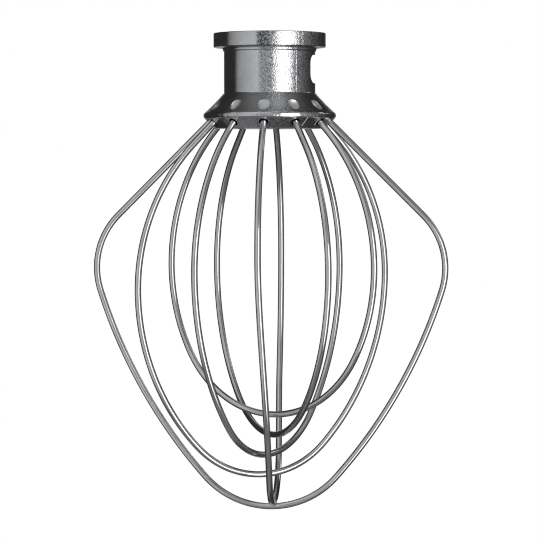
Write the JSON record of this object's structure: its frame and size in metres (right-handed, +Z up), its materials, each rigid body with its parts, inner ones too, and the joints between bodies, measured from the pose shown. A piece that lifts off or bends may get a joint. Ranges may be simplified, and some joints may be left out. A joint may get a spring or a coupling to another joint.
{
  "type": "stand mixer wire whisk",
  "caption": "Wire whisk for a stand mixer: a cast hub with a bayonet drive bore carries nested spring-wire loops, the widest shouldered, staked into its lower cone.",
  "frame": {"origin": "centre of the hub's top face, at the mouth of the drive bore", "axes": "+Z up along the bore, out of its mouth; +X across the widest wire loop; the wires hang towards -Z"},
  "size_m": [0.123, 0.0842, 0.1645],
  "materials": {
    "hub_casting": "die-cast, satin",
    "steel_wire": "drawn and polished"
  },
  "bodies": {
    "root": {"hub": "hub_casting", "wide_wire": "steel_wire", "cross_wire": "steel_wire", "balloon_wire_1": "steel_wire", "balloon_wire_2": "steel_wire", "balloon_wire_3": "steel_wire", "balloon_wire_4": "steel_wire"}
  },
  "joints": []
}
